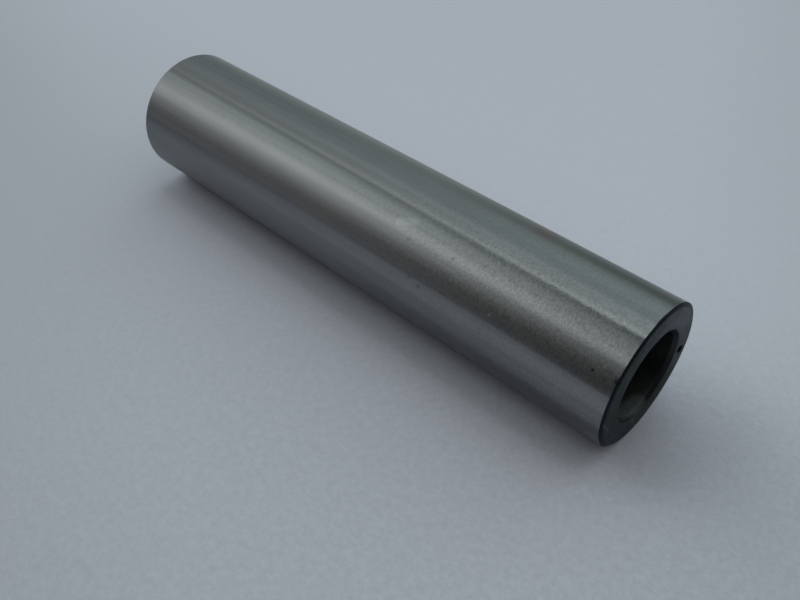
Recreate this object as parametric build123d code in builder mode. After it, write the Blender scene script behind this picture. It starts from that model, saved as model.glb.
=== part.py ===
from build123d import *
import os

# Piston pin: a plain ground steel tube, stood on its lower end.
# The origin is the centre of the lower end face and +Z runs along the axis. Sizes are in millimetres.

PIN_DIAMETER = 12.5
PIN_LENGTH = 55.5
BORE_DIAMETER = 7.5

# The outer edge is only broken, so that the ground surface keeps its length in the small end and bosses.
RIM_CHAMFER = 0.2
# The bore's mouth is opened a little wider, which clears the drill's burr.
MOUTH_CHAMFER = 0.25

with BuildPart() as piston_pin:
    # The tube's wall, drawn as a ring on the lower end and run up to the upper end
    with BuildSketch(Plane.XY) as end_ring:
        Circle(PIN_DIAMETER / 2)
        Circle(BORE_DIAMETER / 2, mode=Mode.SUBTRACT)
    extrude(amount=PIN_LENGTH)

    # Both ends are finished alike: each has one outer rim and one bore mouth
    lower_end = piston_pin.edges().group_by(Axis.Z)[0]
    upper_end = piston_pin.edges().group_by(Axis.Z)[-1]
    outer_rims = ShapeList([end.sort_by(SortBy.RADIUS)[-1] for end in (lower_end, upper_end)])
    bore_mouths = ShapeList([end.sort_by(SortBy.RADIUS)[0] for end in (lower_end, upper_end)])
    chamfer(outer_rims, RIM_CHAMFER)
    chamfer(bore_mouths, MOUTH_CHAMFER)

piston_pin.part.label = "piston_pin"

os.makedirs("parts", exist_ok=True)
export_step(piston_pin.part, "parts/piston_pin.step")
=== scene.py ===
import math

import bmesh
import bpy
from mathutils import Matrix, Vector


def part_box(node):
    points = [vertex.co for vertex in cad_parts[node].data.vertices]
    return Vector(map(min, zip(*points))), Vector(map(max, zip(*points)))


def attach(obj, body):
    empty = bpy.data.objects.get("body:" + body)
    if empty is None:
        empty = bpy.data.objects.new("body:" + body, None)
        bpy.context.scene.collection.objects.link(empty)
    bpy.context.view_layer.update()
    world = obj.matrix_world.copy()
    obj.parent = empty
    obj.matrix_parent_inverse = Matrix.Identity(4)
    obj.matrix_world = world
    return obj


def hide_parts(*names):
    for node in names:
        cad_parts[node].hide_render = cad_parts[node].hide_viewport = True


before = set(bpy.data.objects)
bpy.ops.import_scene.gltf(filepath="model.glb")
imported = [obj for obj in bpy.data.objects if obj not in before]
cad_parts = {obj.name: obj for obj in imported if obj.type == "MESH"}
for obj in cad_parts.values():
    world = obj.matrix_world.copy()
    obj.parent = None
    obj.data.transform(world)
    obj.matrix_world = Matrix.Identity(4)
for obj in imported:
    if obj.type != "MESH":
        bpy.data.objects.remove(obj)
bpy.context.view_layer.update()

# The piston pin is a thick-walled tube of case-hardened steel. It is turned and drilled from bar,
# hardened, and ground on the outside between two wheels; its ends and bore keep their dark skin.
# It stands on its lower end, so its axis is the Z axis.
MM = 0.001
pin_low, pin_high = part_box("piston_pin")
pin_radius = pin_high.x
bore_radius = 3.75 * MM
rim_chamfer = 0.13 * MM
rim_drawn_in = 0.977
mouth_chamfer = 0.3 * MM
worn_edge = 0.03 * MM

# Places on the pin are given by an angle round it and a height above its lower end.
# Angle 0 points along FOOT, 90 along FACE; the pin's back, at 270, is the side that touches the backdrop.
FACE = Vector((1, -1, 0)).normalized()
FOOT = Vector((-1, -1, 0)).normalized()


def on_pin(angle, height, radius=pin_radius / MM):
    """A point in millimetres, at an angle round the axis and a height above the lower end."""
    turn = math.radians(angle)
    return (FOOT * math.cos(turn) + FACE * math.sin(turn)) * radius + Vector((0, 0, height))


def pick(kind, test):
    """Selects the vertices, edges or faces of the mesh in edit mode that pass a test, and nothing else."""
    bpy.ops.mesh.select_mode(type=kind)
    bpy.ops.mesh.select_all(action="DESELECT")
    mesh = bmesh.from_edit_mesh(bpy.context.object.data)
    items = {"VERT": mesh.verts, "EDGE": mesh.edges, "FACE": mesh.faces}[kind]
    for item in items:
        if test(item):
            item.select_set(True)
    mesh.select_flush_mode()
    bmesh.update_edit_mesh(bpy.context.object.data)


def from_axis(point):
    return math.hypot(point.x, point.y)


def at_an_end(point):
    return min(abs(point.z - pin_low.z), abs(point.z - pin_high.z)) < 0.001 * MM


# The bar, cut to length: a solid cylinder with flat ends
bpy.ops.object.select_all(action="DESELECT")
bpy.ops.mesh.primitive_cylinder_add(
    vertices=256,
    radius=pin_radius,
    depth=pin_high.z - pin_low.z,
    end_fill_type="NGON",
    location=(0, 0, (pin_low.z + pin_high.z) / 2),
)
pin = bpy.context.object
pin.name = pin.data.name = "ground_pin"
bpy.ops.object.transform_apply(location=True, rotation=True, scale=True)
bpy.ops.object.mode_set(mode="EDIT")

# The bore, run from one end face to the other
pick("FACE", lambda face: abs(face.normal.z) > 0.9)
bpy.ops.mesh.inset(thickness=pin_radius - bore_radius, use_boundary=True)
pick("FACE", lambda face: abs(face.normal.z) > 0.9 and len(face.verts) > 4)
bpy.ops.mesh.bridge_edge_loops()


def add_rings(heights):
    """Cuts the walls at some heights, which keeps the shading of a long wall true beside a chamfer."""
    for height in heights:
        cut_point = (0, 0, pin_low.z + height * MM)
        bpy.ops.mesh.select_all(action="SELECT")
        bpy.ops.mesh.bisect(plane_co=cut_point, plane_no=(0, 0, 1), threshold=0.01 * MM)


add_rings((0.45, 0.8, 1.5, 3, 6, 12, 20, 28, 35.5, 43.5, 49.5, 52.5, 54, 54.7, 55.05))

# Both outer rims and both mouths of the bore get a chamfer, and its edges are worn a little round.
# The chamfer of a rim is flatter than 45 degrees, so its edge on the end face is drawn in.
pick("EDGE", lambda edge: all(at_an_end(v.co) and from_axis(v.co) > 0.9 * pin_radius for v in edge.verts))
bpy.ops.mesh.bevel(offset=rim_chamfer, segments=1, affect="EDGES")
pick("VERT", lambda vert: at_an_end(vert.co) and from_axis(vert.co) > 0.9 * pin_radius)
bpy.ops.transform.resize(value=(rim_drawn_in, rim_drawn_in, 1))
pick("EDGE", lambda edge: all(at_an_end(v.co) and from_axis(v.co) < 1.02 * bore_radius for v in edge.verts))
bpy.ops.mesh.bevel(offset=mouth_chamfer, segments=1, affect="EDGES")
pick("EDGE", lambda edge: edge.is_manifold and edge.calc_face_angle() > math.radians(30))
bpy.ops.mesh.bevel(offset=worn_edge, segments=2, affect="EDGES")
# The rings nearest the ends lie beside the mouths' chamfers, so they are cut after these
add_rings((0.2, 0.36, 55.14, 55.3))

# A knock has dented the lower end face. The spokes of the face are divided finely there, and the face is
# pushed in by three steps, so that the dent is deepest in the middle.
dent_place = on_pin(188.8, 0, 4.95)


def in_dent(point, reach):
    """Whether a point of the lower end face lies within a reach, in millimetres, of the dent's middle."""
    return point.z < pin_low.z + 0.1 * MM and (point.xy / MM - dent_place.xy).length < reach


def spoke_beside_dent(edge):
    middle = (edge.verts[0].co + edge.verts[1].co) / 2
    return edge.calc_length() > 1.5 * MM and in_dent(middle, 0.7)


pick("EDGE", spoke_beside_dent)
bpy.ops.mesh.subdivide(number_cuts=20)
for reach, step in ((0.38, 0.02), (0.28, 0.03), (0.16, 0.03)):
    pick("VERT", lambda vert: in_dent(vert.co, reach))
    bpy.ops.transform.translate(value=(0, 0, step * MM))

bpy.ops.mesh.select_all(action="SELECT")
bpy.ops.mesh.normals_make_consistent(inside=False)
bpy.ops.object.mode_set(mode="OBJECT")
bpy.ops.object.shade_smooth_by_angle(angle=math.radians(35))


class Wire:
    """One output of a node. Sums on wires add Math nodes, and add() makes any node."""

    def __init__(self, tree, socket=None):
        self.tree = tree
        self.socket = socket

    def add(self, kind, settings=None, inputs=None, output=0):
        node = self.tree.nodes.new(kind)
        for name, setting in (settings or {}).items():
            if name == "stops":
                ramp = node.color_ramp.elements
                while len(ramp) < len(setting):
                    ramp.new(1)
                for stop, (place, colour) in zip(ramp, setting):
                    stop.position = place
                    stop.color = (*colour, 1)
            else:
                setattr(node, name, setting)
        for name, value in (inputs or {}).items():
            if isinstance(value, Wire):
                self.tree.links.new(value.socket, node.inputs[name])
            else:
                node.inputs[name].default_value = value
        return Wire(self.tree, node.outputs[output])

    def sum(self, operation, *values):
        return self.add("ShaderNodeMath", {"operation": operation}, dict(enumerate(values)))

    def vector(self, operation, *values, output=0):
        return self.add("ShaderNodeVectorMath", {"operation": operation}, dict(enumerate(values)), output)

    def times(self, numbers):
        """This vector or colour, multiplied part by part."""
        return self.vector("MULTIPLY", self, numbers)

    def along(self, direction):
        """How far this point lies along a direction."""
        return self.vector("DOT_PRODUCT", self, direction, output=1)

    def noise(self, detail, roughness):
        """Noise of about one lump a unit, from 0 to 1."""
        inputs = {"Vector": self, "Scale": 1.0, "Detail": detail, "Roughness": roughness}
        return self.add("ShaderNodeTexNoise", {"noise_dimensions": "3D"}, inputs)

    def between(self, low, high):
        """0 below low, 1 above high and a smooth step from one to the other."""
        settings = {"interpolation_type": "SMOOTHSTEP"}
        return self.add("ShaderNodeMapRange", settings, {"Value": self, "From Min": low, "From Max": high})

    def mix(self, first, second):
        """The first colour where this wire is 0, the second where it is 1."""
        return self.add("ShaderNodeMix", {"data_type": "RGBA"}, {0: self, 6: first, 7: second}, 2)

    def __add__(self, other):
        return self.sum("ADD", self, other)

    __radd__ = __add__

    def __mul__(self, other):
        return self.sum("MULTIPLY", self, other)

    __rmul__ = __mul__

    def __sub__(self, other):
        return self.sum("SUBTRACT", self, other)

    def __rsub__(self, other):
        return self.sum("SUBTRACT", other, self)


def new_material(name):
    """An empty node material, with a wire to build from."""
    material = bpy.data.materials.new(name)
    material.use_nodes = True
    material.node_tree.nodes.clear()
    return material, Wire(material.node_tree)


def place_on_object(wire):
    """The point that is shaded, in the object's own millimetres."""
    return wire.add("ShaderNodeTexCoord", output="Object").times((1 / MM, 1 / MM, 1 / MM))


def finish_material(wire, surface):
    output = wire.tree.nodes.new("ShaderNodeOutputMaterial")
    wire.tree.links.new(surface.socket, output.inputs["Surface"])


def near_line(place, start, end, width):
    """1 along a straight line between two points of the pin and 0 away from it."""
    run = end - start
    offset = place.vector("SUBTRACT", place, tuple(start))
    share = offset.along(tuple(run / run.length_squared))
    share = share.sum("MINIMUM", share.sum("MAXIMUM", share, 0.0), 1.0)
    nearest = share.add("ShaderNodeVectorMath", {"operation": "SCALE"}, {0: tuple(run), "Scale": share})
    distance = place.vector("DISTANCE", offset, nearest, output=1)
    return 1 - distance.between(width * 0.4, width)


def near_spot(place, centre, width):
    """1 at a point of the pin and 0 further from it than the width."""
    distance = place.vector("DISTANCE", place, tuple(centre), output=1)
    return 1 - distance.between(width * 0.4, width)


def ground_steel():
    """The ground outside: bright, with wheel marks that run round the pin, fine grain and a few marks."""
    material, wire = new_material("ground_steel")
    place = place_on_object(wire)

    # The wheel's grains leave short scratches round the pin; a few are long
    grain = place.times((4, 4, 7)).noise(2, 0.6)
    scratches = place.times((0.5, 0.5, 14)).noise(1, 0.5)
    # They are deepest on the lower third and along one side, and polished fine by wear elsewhere
    height = place.along((0, 0, 1))
    unworn = 1 - 0.75 * height.between(9.0, 32.0)
    rough_side = 0.5 + 0.65 * place.along(tuple(on_pin(52, 0, 1))).between(5.2, 6.2)
    grain = 0.5 + (grain - 0.5) * unworn * rough_side
    scratches = 0.5 + (scratches - 0.5) * unworn
    # The pin turned as it was fed between the wheels, which leaves very faint flats along it
    flats = place.times((2.2, 2.2, 0.03)).noise(2, 0.6)
    flats = 0.5 + (flats - 0.5) * (0.6 + 0.4 * unworn)
    cloud = place.times((0.35, 0.35, 0.2)).noise(2, 0.5)
    # A line along it is painted brighter, a painted reflection, and a band beside it is painted darker,
    # painted shade that is deepest near the lower end
    painted_light = near_line(place, on_pin(17, -2), on_pin(17, 60), 1.2) * (1 - height.between(25.0, 50.0))
    painted_shade_band = near_line(place, on_pin(-20, -2), on_pin(-17, 60), 2.3) * (1 - height.between(5.0, 35.0))
    tone = 0.07 + 0.75 * grain + 0.15 * scratches + 0.28 * flats + 0.1 * cloud
    tone = tone * (1 + 0.14 * painted_light - 0.42 * painted_shade_band)
    steel = (0.33, 0.337, 0.337, 1)
    colour = tone.mix((0, 0, 0, 1), steel)

    # Rust pits and specks of dirt: angle, height, width and darkness
    dark_mark = (0.03, 0.032, 0.036, 1)
    for angle, level, width, darkness in (
        (33, 2.1, 0.16, 0.8),
        (31, 1.1, 0.12, 0.5),
        (34, 0.25, 0.15, 0.7),
        (119.7, 3.7, 0.25, 0.8),
        (11.4, 11.4, 0.16, 0.3),
        (49.7, 16, 0.22, 0.35),
        (46, 20.4, 0.25, 0.25),
        (18, 17.9, 0.25, 0.33),
        (20.7, 19, 0.25, 0.22),
    ):
        pit = near_spot(place, on_pin(angle, level), width)
        colour = (darkness * pit).mix(colour, dark_mark)

    # A speck of bare metal, a scratch and a scuff
    speck = 0.45 * near_spot(place, on_pin(28.5, 11.1), 0.17)
    scratch = 0.1 * near_line(place, on_pin(62, 12.4), on_pin(68, 13.1), 0.14)
    scuff = 0.12 * near_line(place, on_pin(53.6, 22), on_pin(58.9, 20.7), 0.45)
    bare_metal = (0.6, 0.6, 0.58, 1)
    colour = (speck + scratch + scuff).mix(colour, bare_metal)

    # A brown smear of old oil near the lower end
    old_oil = (0.22, 0.145, 0.12, 1)
    smear = near_spot(place, on_pin(113, 11.9), 1.3)
    colour = (0.4 * smear).mix(colour, old_oil)

    marks = grain + 0.5 * scratches
    bump = wire.add("ShaderNodeBump", inputs={"Strength": 1.0, "Distance": 0.006 * MM, "Height": marks})
    surface = wire.add(
        "ShaderNodeBsdfPrincipled",
        inputs={
            "Base Color": colour,
            "Metallic": 1.0,
            "Roughness": 0.28,
            "Anisotropic": 1.0,
            "Anisotropic Rotation": 0.25,
            "Normal": bump,
        },
    )
    finish_material(wire, surface)
    return material


def turned_steel():
    """The ends: turned before hardening, and left with the furnace's dark blue-grey skin."""
    material, wire = new_material("turned_end")
    place = place_on_object(wire)
    radius = place.vector("LENGTH", place.times((1, 1, 0)), output=1)
    rings = wire.sum("SINE", radius * 45)
    cloud = place.times((1.2, 1.2, 1.2)).noise(3, 0.6)
    grain = place.times((5, 5, 5)).noise(2, 0.6)
    # The furnace's skin turns from blue-grey at the mouth to grey-green at the rim, and has left a greenish
    # stain on one side.
    # One side of the end is also painted lighter: a painted reflection of the brighter paper that it faces.
    blue_grey = (0.14, 0.173, 0.17, 1)
    grey_green = (0.15, 0.173, 0.15, 1)
    stained = (0.15, 0.173, 0.115, 1)
    stain = near_spot(place, on_pin(232, 0, 4.7), 2.6)
    skin = stain.mix(radius.between(4.4, 6.0).mix(blue_grey, grey_green), stained)
    # One side of the end is painted lighter, a painted reflection
    lighter = 1 + 0.045 * place.along(tuple(on_pin(130, 0, 1)))
    tone = (0.75 * cloud + 0.7 * grain + 0.02 * rings - 0.2) * lighter * (1 - 0.4 * stain)
    colour = tone.mix((0, 0, 0, 1), skin)

    # One side of the mouth is darker, and the worn rim is dark blue
    shaded_mouth = (0.01, 0.012, 0.012, 1)
    dark_blue = (0.02, 0.025, 0.036, 1)
    side = place.along(tuple(on_pin(160, 0, 1))).between(1.0, 3.5)
    colour = (0.35 * side * (1 - radius.between(4.1, 4.45))).mix(colour, shaded_mouth)
    colour = (0.95 * radius.between(5.88, 5.98)).mix(colour, dark_blue)
    # The dent in the lower end is painted near black: painted shade in the dent
    dent_shade_black = (0.003, 0.003, 0.004, 1)
    dark_mark = 0.7 * near_line(place, on_pin(187.5, 0, 4.75), on_pin(190, 0, 5.15), 0.42)
    colour = (1.4 * dark_mark).mix(colour, dent_shade_black)
    # Three scratches cross the lower end
    scratched = (0.35, 0.36, 0.32, 1)
    scored = near_line(place, on_pin(-24, 0, 5.2), on_pin(-3, 0, 6), 0.15)
    scored = scored.sum("MAXIMUM", scored, near_line(place, on_pin(281, 0, 4.4), on_pin(270, 0, 5.8), 0.15))
    scored = scored.sum("MAXIMUM", scored, near_line(place, on_pin(-47, 0, 5.3), on_pin(-41, 0, 5.1), 0.12))
    colour = (0.25 * scored).mix(colour, scratched)

    marks = grain + 0.25 * rings
    bump = wire.add("ShaderNodeBump", inputs={"Strength": 1.0, "Distance": 0.03 * MM, "Height": marks})
    surface = wire.add(
        "ShaderNodeBsdfPrincipled",
        inputs={
            "Base Color": colour,
            "Metallic": 1.0,
            "Roughness": 0.37 + 0.6 * dark_mark,
            "Anisotropic": 0.8,
            "Anisotropic Rotation": 0.25,
            "Specular Tint": (0.6, 0.6, 0.62, 1),
            "Normal": bump,
        },
    )
    finish_material(wire, surface)
    return material


def drilled_steel():
    """The bore: drilled, then hardened, and dark and dull right through."""
    material, wire = new_material("drilled_bore")
    place = place_on_object(wire)
    scale = place.times((1.5, 1.5, 6)).noise(3, 0.6)
    cloud = place.times((0.5, 0.5, 0.3)).noise(2, 0.5)
    dark_scale = (0.11, 0.12, 0.114, 1)
    colour = (0.1 + 0.7 * scale + 0.5 * cloud).mix((0, 0, 0, 1), dark_scale)
    # Just inside the lower mouth two patches of the wall are painted lighter: painted light that falls in
    # through the mouth
    painted_lit_steel = (0.17, 0.195, 0.19, 1)
    painted_light = near_line(place, on_pin(265, 0.3, 3.8), on_pin(325, 1.2, 3.8), 1.2)
    fainter_painted_light = 0.45 * near_line(place, on_pin(172, 0.3, 3.8), on_pin(212, 5, 3.8), 1.8)
    painted_light = painted_light.sum("MAXIMUM", painted_light, fainter_painted_light)
    colour = (painted_light * (0.25 + 0.75 * scale)).mix(colour, painted_lit_steel)
    # The chamfer of the mouth is black, less so on the painted light
    black = (0.02, 0.022, 0.023, 1)
    radius = place.vector("LENGTH", place.times((1, 1, 0)), output=1)
    chamfer = radius.between(3.75, 3.758) * (1 - 0.5 * painted_light)
    colour = (0.85 * chamfer).mix(colour, black)
    bump = wire.add("ShaderNodeBump", inputs={"Strength": 1.0, "Distance": 0.02 * MM, "Height": scale})
    surface = wire.add(
        "ShaderNodeBsdfPrincipled",
        inputs={
            "Base Color": colour,
            "Metallic": 1 - 0.65 * painted_light * (1 - chamfer),
            "Roughness": 0.45,
            "Specular Tint": (0.5, 0.5, 0.5, 1),
            "Normal": bump,
        },
    )
    finish_material(wire, surface)
    return material


for finish in (ground_steel(), turned_steel(), drilled_steel()):
    pin.data.materials.append(finish)


def inside_ground_wall(face):
    return from_axis(face.calc_center_median()) < pin_radius * 0.9995


def in_bore_or_mouth(face):
    past_mouth = bore_radius + 1.05 * mouth_chamfer
    return from_axis(face.calc_center_median()) < past_mouth and abs(face.normal.z) < 0.95


# The ground side has the first finish, the ends with their rims have the second, and the bore with its
# mouths has the third
bpy.ops.object.mode_set(mode="EDIT")
pick("FACE", inside_ground_wall)
pin.active_material_index = 1
bpy.ops.object.material_slot_assign()
pick("FACE", in_bore_or_mouth)
pin.active_material_index = 2
bpy.ops.object.material_slot_assign()

# The lower rim has been knocked in a few places, which pushed its edge in and up: angle and depth
knock_reach = 0.22 * MM
for angle, depth in ((34, 0.03), (82.5, 0.02), (86, 0.03), (89.5, 0.02), (190, 0.03)):
    rim_point = Vector((0, 0, pin_low.z)) + on_pin(angle, 0.1) * MM
    pick("VERT", lambda vert: (vert.co - rim_point).length < knock_reach)
    bpy.ops.transform.translate(value=(on_pin(angle, 0, -depth) + Vector((0, 0, depth))) * MM)
bpy.ops.object.mode_set(mode="OBJECT")

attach(pin, "root")
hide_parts("piston_pin")


# The backdrop is a sheet of pale paper that stands on edge and touches the pin all the way up.
# It is seen from its front only, and the steel mirrors neither the strip beside the touching line nor
# what lies past the sheet's two edges.
sheet_size = 0.8
sheet_colour = (0.732, 0.74, 0.81)


def pale_paper(name, colour, greyed):
    """Pale paper with painted shade. Where greyed is 1 it is painted lighter on one side and greyer towards
    its edges; where it is 0 it is even all over.
    """
    material, wire = new_material(name)
    place = place_on_object(wire)
    fibres = place.times((1.8, 1.8, 1.8)).noise(3, 0.65)
    # The paper is roughest at one corner of its foot
    across = place.along(tuple(FOOT))
    height = place.along((0, 0, 1))
    coarse = (1 - 0.75 * height.between(0.0, 70.0)) * (0.4 + 0.6 * across.between(-25.0, 5.0))
    fibres = 0.5 + (fibres - 0.5) * coarse
    # Its shade is painted: lighter on one side of the pin and darker far off on the other, a painted pool
    # of light
    shade = 1.17 - 0.17 * across.between(-28.0, 15.0) - 0.1 * across.between(25.0, 60.0)
    # It is painted a little greyer, as painted shade, towards its lower corner on one side and its upper
    # corner on the other
    lower_corner = 1 - place.along(tuple(FOOT * 0.63 + Vector((0, 0, 1.37)))).between(-40.0, 6.0)
    upper_corner = place.along(tuple(FOOT * 1.3 + Vector((0, 0, 0.7)))).between(48.0, 85.0)
    shade = shade * (1 - 0.12 * lower_corner - 0.07 * upper_corner)
    shade = 1 + greyed * (shade - 1)
    paper = ((0.86 + 0.28 * fibres) * shade).times(colour)
    bump = wire.add("ShaderNodeBump", inputs={"Strength": 1.0, "Distance": 0.04 * MM, "Height": fibres})
    front = wire.add("ShaderNodeBsdfDiffuse", inputs={"Color": paper, "Normal": bump})
    back = wire.add("ShaderNodeBsdfTransparent")

    # What the steel doesn't mirror: the strip within about 2 mm of it, and what lies past either edge
    ray_length = wire.add("ShaderNodeLightPath", output="Ray Length")
    touching = (1 - ray_length.between(1.4 * MM, 2.6 * MM)) * wire.sum("GREATER_THAN", height, 0.0)
    far_edge = wire.sum("GREATER_THAN", across - 0.7 * height, 110.0)
    near_edge = wire.sum("LESS_THAN", across, -28.0)
    off_paper = wire.sum("MAXIMUM", far_edge, near_edge)
    mirrored = wire.add("ShaderNodeLightPath", output="Is Glossy Ray")
    unmirrored = wire.sum("MAXIMUM", touching, off_paper) * mirrored
    unseen = wire.sum("MAXIMUM", wire.add("ShaderNodeNewGeometry", output="Backfacing"), unmirrored)
    finish_material(wire, wire.add("ShaderNodeMixShader", inputs={0: unseen, 1: front, 2: back}))
    return material


bpy.ops.object.select_all(action="DESELECT")
bpy.ops.mesh.primitive_plane_add(size=sheet_size)
sheet = bpy.context.object
sheet.name = sheet.data.name = "paper_sheet"
facing = FACE.to_track_quat("Z", "Y").to_matrix().to_4x4()
sheet.data.transform(Matrix.Translation(FACE * -pin_radius) @ facing)
sheet.data.materials.append(pale_paper("sheet_paper", sheet_colour, 1.0))
sheet.visible_diffuse = False

# The floor is pale paper too, laid flat just under the pin. It is seen from above only, and neither
# lights the pin and the sheet nor shows in the steel.
floor_size = 2.4
floor_gap = 0.05 * MM
floor_colour = (0.80, 0.81, 0.88)
bpy.ops.object.select_all(action="DESELECT")
bpy.ops.mesh.primitive_plane_add(size=floor_size, location=(0, 0, pin_low.z - floor_gap))
floor = bpy.context.object
floor.name = floor.data.name = "paper_floor"
bpy.ops.object.transform_apply(location=True, rotation=True, scale=True)
floor.data.materials.append(pale_paper("floor_paper", floor_colour, 0.0))
floor.visible_diffuse = False
floor.visible_glossy = False

# The room is a soft studio with no lamps. Its brightness is given by direction round the pin, named as on
# the pin, in three bands: light from below, level light and high light. Straight above and straight below
# are plain.
overhead_colour = (0.28, 0.29, 0.31, 1)
underfoot_colour = (0.04, 0.04, 0.045, 1)
backdrop_colour = (0.34, 0.38, 0.42, 1)
world = bpy.data.worlds.new("soft_studio")
bpy.context.scene.world = world
world.use_nodes = True
world.cycles.sampling_method = "NONE"
world.node_tree.nodes.clear()
wire = Wire(world.node_tree)
direction = wire.add("ShaderNodeTexCoord", output="Generated")
bearing = wire.sum("ARCTAN2", direction.along(tuple(FACE)), direction.along(tuple(FOOT)))
bearing = bearing * (0.5 / math.pi) + 0.5
rise = direction.along((0, 0, 1))


def stops(*pairs):
    """A ramp's stops, from pairs of a direction in degrees and a colour."""
    return [((angle + 180) / 360, colour) for angle, colour in pairs]


def grey(value, red=1.0, blue=1.0):
    """A grey of some brightness, with a little less or more red and blue."""
    return (value * red, value, value * blue)


under_light = stops(
    (-180, grey(0.33)),
    (-155, grey(0.4)),
    (-140, grey(0.9)),
    (-95, grey(0.3)),
    (-50, grey(0.9)),
    (-10, grey(0.1)),
    (10, grey(0.02)),
    (40, grey(0.04)),
    (52, grey(0.25)),
    (75, grey(0.25)),
    (88, grey(0.25)),
    (91, grey(0.5, 0.95)),
    (125, grey(0.5, 0.93)),
    (140, grey(0.4, 0.93)),
    (155, grey(0.3)),
    (180, grey(0.3)),
)
level_light = stops(
    (-180, grey(0.22, 0.9)),
    (-151, grey(0.36, 0.9)),
    (-140, grey(0.9)),
    (-95, grey(0.3)),
    (-50, grey(0.9)),
    (-10, grey(0.06)),
    (3, grey(0.025)),
    (21, grey(0.01)),
    (31, grey(0.05)),
    (41, grey(0.05)),
    (51, grey(0.50, 0.96)),
    (61, grey(0.31, 0.95)),
    (71, grey(0.28, 0.92)),
    (81, grey(0.05, 0.89)),
    (89, grey(0.02, 0.89)),
    (91, grey(1.75, 0.92)),
    (94, grey(1.6, 0.92)),
    (97, grey(0.95, 0.91)),
    (107, grey(0.9, 0.89, 1.02)),
    (112, grey(1.05, 0.87, 1.05)),
    (119, grey(0.70, 0.85, 1.06)),
    (128, grey(0.65, 0.84, 1.05)),
    (142, grey(0.80, 0.84, 1.05)),
    (152, grey(0.66, 0.84, 1.05)),
    (162, grey(0.38, 0.86)),
    (172, grey(0.18, 0.86)),
    (180, grey(0.18, 0.9)),
)
high_light = stops(
    (-180, grey(0.62, 0.9)),
    (-151, grey(0.66, 0.92)),
    (-140, grey(2.0)),
    (-95, grey(1.1)),
    (-50, grey(2.0)),
    (-15, grey(0.35)),
    (1, grey(0.42)),
    (11, grey(0.42, 0.98)),
    (21, grey(0.62, 0.96)),
    (31, grey(1.08, 0.95)),
    (41, grey(1.7, 0.93)),
    (51, grey(2.3, 0.95)),
    (61, grey(2.2, 0.93)),
    (71, grey(1.75, 0.90)),
    (81, grey(1.75, 0.89)),
    (87, grey(1.4, 0.89)),
    (92, grey(0.76, 0.88)),
    (101, grey(0.48, 0.87)),
    (112, grey(0.52, 0.87)),
    (130, grey(0.52, 0.86, 1.04)),
    (142, grey(0.42, 0.86, 1.03)),
    (160, grey(0.28, 0.88)),
    (172, grey(0.32, 0.88)),
    (180, grey(0.55, 0.88)),
)
under = wire.add("ShaderNodeValToRGB", {"stops": under_light}, {"Fac": bearing})
level = wire.add("ShaderNodeValToRGB", {"stops": level_light}, {"Fac": bearing})
high = wire.add("ShaderNodeValToRGB", {"stops": high_light}, {"Fac": bearing})
room = rise.between(-0.45, -0.15).mix(under, level)
room = rise.between(0.31, 0.59).mix(room, high)
room = rise.between(0.72, 0.84).mix(room, overhead_colour)
sink = 0 - rise
room = sink.between(0.7, 0.9).mix(room, underfoot_colour)

# Matt surfaces get only a share of this light, mostly from one side and from straight above
bright_side = 0.13 + 0.87 * bearing.between(215 / 360, 255 / 360)
share = bright_side * (1 - 0.15 * sink.between(0.0, 0.4)) * (1 + 2.5 * rise.between(0.7, 0.9))
on_matt = wire.sum("MINIMUM", wire.add("ShaderNodeLightPath", output="Diffuse Depth"), 1.0)
strength = 1 - on_matt * (1 - share)
light = wire.add("ShaderNodeBackground", inputs={"Color": room, "Strength": strength})

# The camera sees a plain backdrop in its place
backdrop = wire.add("ShaderNodeBackground", inputs={"Color": backdrop_colour, "Strength": 1.0})
seen = wire.add("ShaderNodeLightPath", output="Is Camera Ray")
both = wire.add("ShaderNodeMixShader", inputs={0: seen, 1: light, 2: backdrop})
output = world.node_tree.nodes.new("ShaderNodeOutputWorld")
world.node_tree.links.new(both.socket, output.inputs["Surface"])

# The camera is close to the pin's lower end and looks along it, with the paper's normal upright
camera_data = bpy.data.cameras.new("camera")
camera = bpy.data.objects.new("camera", camera_data)
bpy.context.scene.collection.objects.link(camera)
camera.location = (FOOT * 43.26 + FACE * 47.18 + Vector((0, 0, -15.11))) * MM
gaze = (FOOT * -0.5321 + FACE * -0.6843 + Vector((0, 0, 0.4986))).normalized()
right = gaze.cross(FACE).normalized()
camera.rotation_euler = Matrix((right, right.cross(gaze), -gaze)).transposed().to_euler()
camera_data.lens = 37.9
camera_data.clip_start = 0.001
camera_data.clip_end = 10
bpy.context.scene.camera = camera

bpy.context.scene.view_settings.view_transform = "Standard"
